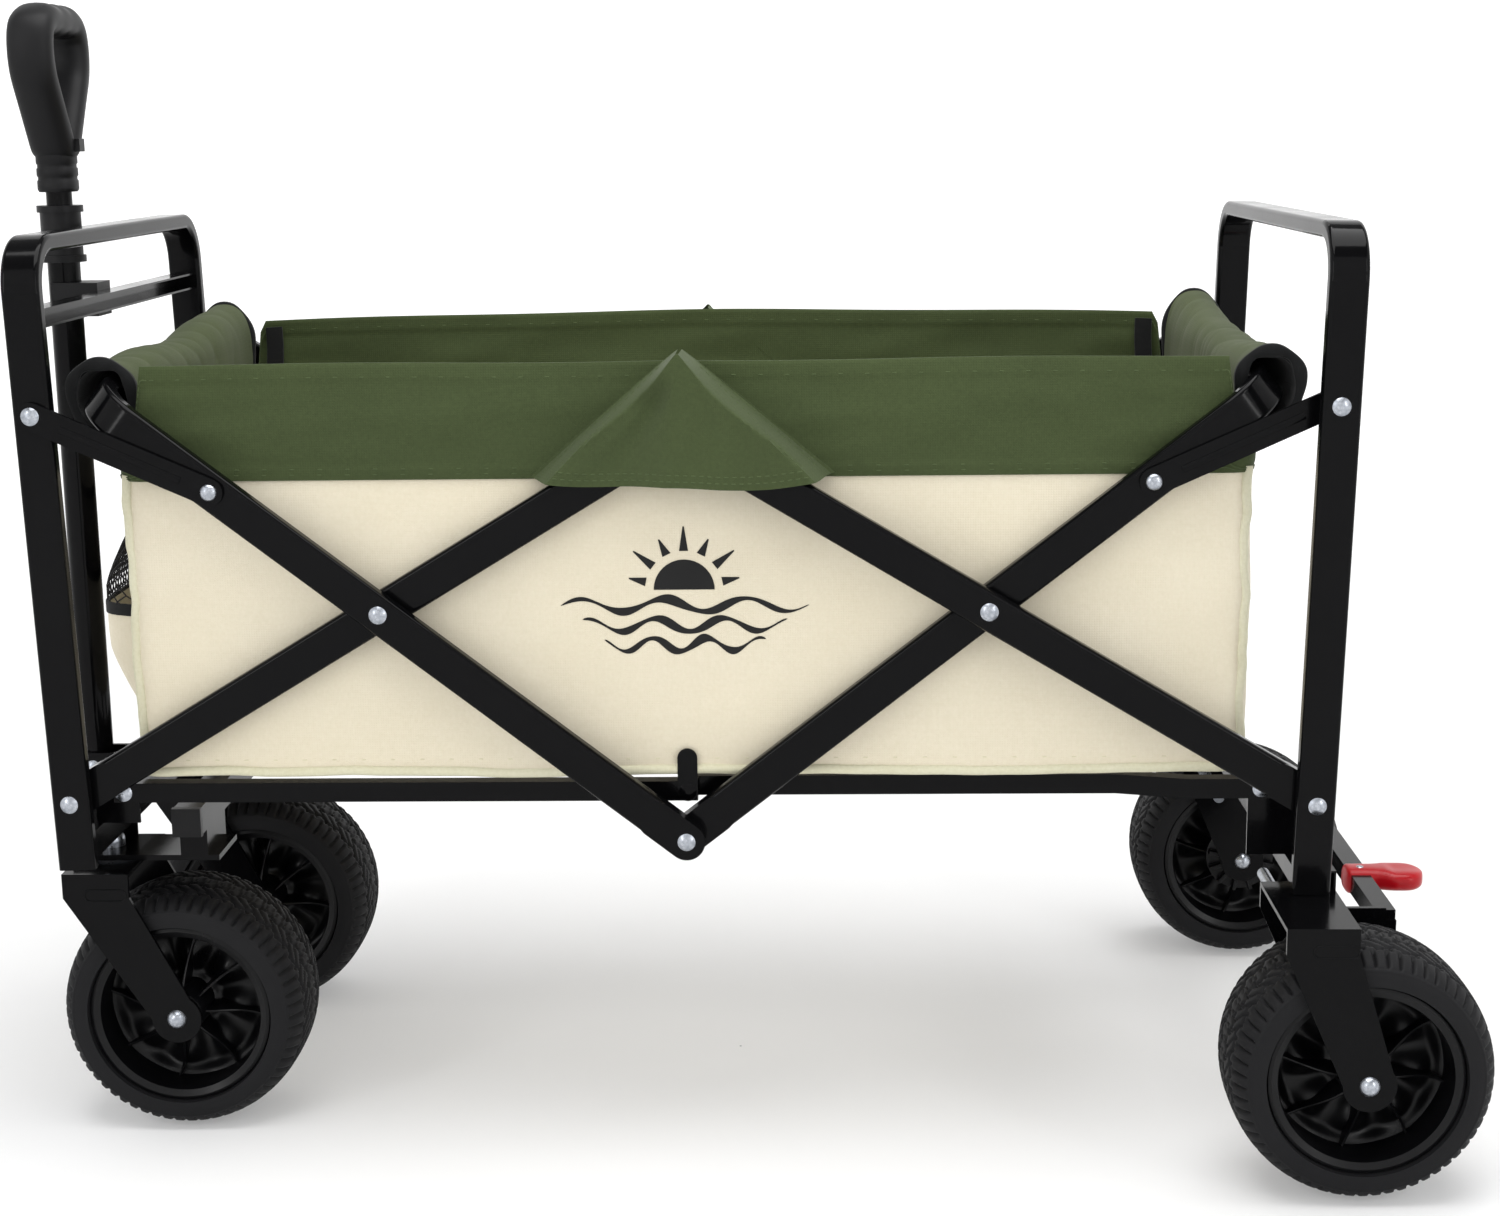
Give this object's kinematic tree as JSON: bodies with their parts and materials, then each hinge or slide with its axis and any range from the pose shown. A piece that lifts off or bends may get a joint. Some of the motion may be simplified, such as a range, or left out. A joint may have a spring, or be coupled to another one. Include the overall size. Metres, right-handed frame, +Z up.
{
  "type": "folding beach cart",
  "caption": "Folding four-wheel beach cart with scissor side frames, open fabric basket, front casters, rear foot brake and telescopic pull handle.",
  "frame": {"origin": "on the ground, under the middle of the cart's overall length and width", "axes": "+X along the cart from the pull-handle end to the brake end, +Y across it, +Z up"},
  "size_m": [1.04, 0.6, 0.816],
  "materials": {
    "frame_steel": "gloss black powder coat",
    "zinc_steel": "bright zinc",
    "black_plastic": "moulded satin",
    "grip_rubber": "soft moulded grip",
    "brake_red": "moulded red",
    "beige_cloth": "plain weave polyester",
    "green_cloth": "plain weave polyester",
    "floor_panel": "cloth-covered board",
    "tyre_rubber": "moulded tread",
    "rim_plastic": "moulded"
  },
  "bodies": {
    "front_frame": {"front_hoop": "frame_steel", "front_crossbar": "frame_steel", "handle_clip": "black_plastic", "front_beam": "frame_steel", "second_cross_tube": "frame_steel", "tube_plugs": "black_plastic", "caster_brackets": "frame_steel", "kingpins": "zinc_steel", "caster_bearings": "zinc_steel", "handle_yoke": "frame_steel", "front_rivets": "zinc_steel"},
    "lower_front_bars": {"front_lower_bars": "frame_steel"},
    "front_u": {"front_u_tube": "frame_steel", "front_u_rivets": "zinc_steel", "front_sleeve": "green_cloth"},
    "rear_u": {"rear_u_tube": "frame_steel", "rear_sleeve": "green_cloth"},
    "lower_rear_bars": {"rear_lower_bars": "frame_steel", "rear_bar_rivets": "zinc_steel"},
    "rear_frame": {"rear_hoop": "frame_steel", "rear_beam": "frame_steel", "rear_fork_near": "frame_steel", "rear_fork_far": "frame_steel", "rear_axle_near": "zinc_steel", "rear_axle_far": "zinc_steel", "brake_rods": "zinc_steel", "rear_rivets": "zinc_steel"},
    "front_link_pair": {"front_links": "frame_steel"},
    "rear_link_pair": {"rear_links": "frame_steel"},
    "front_floor": {"front_rails": "frame_steel", "front_floor_board": "floor_panel"},
    "rear_floor": {"rear_rails": "frame_steel", "rear_floor_board": "floor_panel"},
    "basket": {"basket_shell": "beige_cloth", "basket_top_band": "green_cloth", "front_pocket": "beige_cloth"},
    "brake": {"brake_lever": "frame_steel", "brake_pedal": "brake_red"},
    "handle": {"handle_outer_tube": "frame_steel", "handle_collar": "black_plastic"},
    "handle_slide": {"handle_inner_tube": "frame_steel", "handle_guide": "black_plastic", "handle_grip": "grip_rubber"},
    "button": {"release_button": "black_plastic"},
    "caster_near": {"front_fork_near": "frame_steel", "front_axle_near": "zinc_steel"},
    "front_wheel_near": {"front_tyre_near": "tyre_rubber", "front_rim_near": "rim_plastic", "front_bushes_near": "black_plastic"},
    "rear_wheel_near": {"rear_tyre_near": "tyre_rubber", "rear_rim_near": "rim_plastic", "rear_bushes_near": "black_plastic"},
    "caster_far": {"front_fork_far": "frame_steel", "front_axle_far": "zinc_steel"},
    "front_wheel_far": {"front_tyre_far": "tyre_rubber", "front_rim_far": "rim_plastic", "front_bushes_far": "black_plastic"},
    "rear_wheel_far": {"rear_tyre_far": "tyre_rubber", "rear_rim_far": "rim_plastic", "rear_bushes_far": "black_plastic"}
  },
  "joints": [
    {"name": "fold", "type": "hinge", "parent": "front_frame", "child": "lower_front_bars", "pos_m": [-0.457, 0, 0.2635], "axis": [0, -1, 0], "range_deg": [0, 46], "deforming": ["basket_shell", "basket_top_band", "front_pocket"]},
    {"name": "front_crossing", "type": "hinge", "parent": "lower_front_bars", "child": "front_u", "pos_m": [-0.235, 0, 0.397], "axis": [0, -1, 0], "range_deg": [-93, 0.5]},
    {"name": "low_pivot", "type": "hinge", "parent": "front_u", "child": "rear_u", "pos_m": [-0.027, 0, 0.235], "axis": [0, -1, 0], "range_deg": [-0.5, 93]},
    {"name": "rear_crossing", "type": "hinge", "parent": "rear_u", "child": "lower_rear_bars", "pos_m": [0.181, 0, 0.397], "axis": [0, -1, 0], "range_deg": [-93, 0.5]},
    {"name": "rear_foot", "type": "hinge", "parent": "lower_rear_bars", "child": "rear_frame", "pos_m": [0.403, 0, 0.2635], "axis": [0, -1, 0], "range_deg": [-0.5, 47]},
    {"name": "front_link_turn", "type": "hinge", "parent": "front_frame", "child": "front_link_pair", "pos_m": [-0.46337, 0, 0.5355], "axis": [0, -1, 0], "range_deg": [-0.5, 92.43]},
    {"name": "rear_link_turn", "type": "hinge", "parent": "rear_frame", "child": "rear_link_pair", "pos_m": [0.40937, 0, 0.5355], "axis": [0, -1, 0], "range_deg": [-92.43, 0.5]},
    {"name": "front_floor_lift", "type": "hinge", "parent": "front_frame", "child": "front_floor", "pos_m": [-0.427, 0, 0.264], "axis": [0, -1, 0], "range_deg": [-0.5, 82.93]},
    {"name": "rear_floor_lift", "type": "hinge", "parent": "rear_frame", "child": "rear_floor", "pos_m": [0.373, 0, 0.264], "axis": [0, -1, 0], "range_deg": [-82.93, 0.5]},
    {"name": "basket_rise", "type": "slide", "parent": "front_frame", "child": "basket", "axis": [0, 0, 1], "range_m": [-0.001, 0.215]},
    {"name": "brake_press", "type": "hinge", "parent": "rear_frame", "child": "brake", "pos_m": [0.392, 0, 0.175], "axis": [0, 1, 0], "range_deg": [0, 7]},
    {"name": "handle_swing", "type": "hinge", "parent": "front_frame", "child": "handle", "pos_m": [-0.502, 0, 0.236], "axis": [0, -1, 0], "range_deg": [0, 100]},
    {"name": "handle_extend", "type": "slide", "parent": "handle", "child": "handle_slide", "axis": [0, 0, 1], "range_m": [0, 0.3]},
    {"name": "button_press", "type": "slide", "parent": "handle_slide", "child": "button", "axis": [-1, 0, 0], "range_m": [0, 0.0018], "stiffness_N_per_m": 300, "springref_m": -0.002},
    {"name": "caster_swivel_near", "type": "hinge", "parent": "front_frame", "child": "caster_near", "pos_m": [-0.456, -0.122, 0.2], "axis": [0, 0, 1], "continuous": true},
    {"name": "front_wheel_spin_near", "type": "hinge", "parent": "caster_near", "child": "front_wheel_near", "pos_m": [-0.403, -0.122, 0.09], "axis": [0, 1, 0], "continuous": true},
    {"name": "rear_wheel_spin_near", "type": "hinge", "parent": "rear_frame", "child": "rear_wheel_near", "pos_m": [0.43, -0.245, 0.09], "axis": [0, 1, 0], "continuous": true},
    {"name": "caster_swivel_far", "type": "hinge", "parent": "front_frame", "child": "caster_far", "pos_m": [-0.456, 0.122, 0.2], "axis": [0, 0, 1], "continuous": true},
    {"name": "front_wheel_spin_far", "type": "hinge", "parent": "caster_far", "child": "front_wheel_far", "pos_m": [-0.403, 0.122, 0.09], "axis": [0, 1, 0], "continuous": true},
    {"name": "rear_wheel_spin_far", "type": "hinge", "parent": "rear_frame", "child": "rear_wheel_far", "pos_m": [0.43, 0.245, 0.09], "axis": [0, 1, 0], "continuous": true}
  ],
  "couplings": [
    {"joint": "front_crossing", "follows": "fold", "ratio": -2},
    {"joint": "low_pivot", "follows": "fold", "ratio": 2},
    {"joint": "rear_crossing", "follows": "fold", "ratio": -2},
    {"joint": "rear_foot", "follows": "fold", "ratio": 1},
    {"joint": "front_link_turn", "follows": "fold", "ratio": 1.9876},
    {"joint": "rear_link_turn", "follows": "fold", "ratio": -1.9876},
    {"joint": "front_floor_lift", "follows": "fold", "ratio": 1.7811},
    {"joint": "rear_floor_lift", "follows": "fold", "ratio": -1.7811},
    {"joint": "basket_rise", "follows": "fold", "m_per_rad": 0.26209}
  ]
}
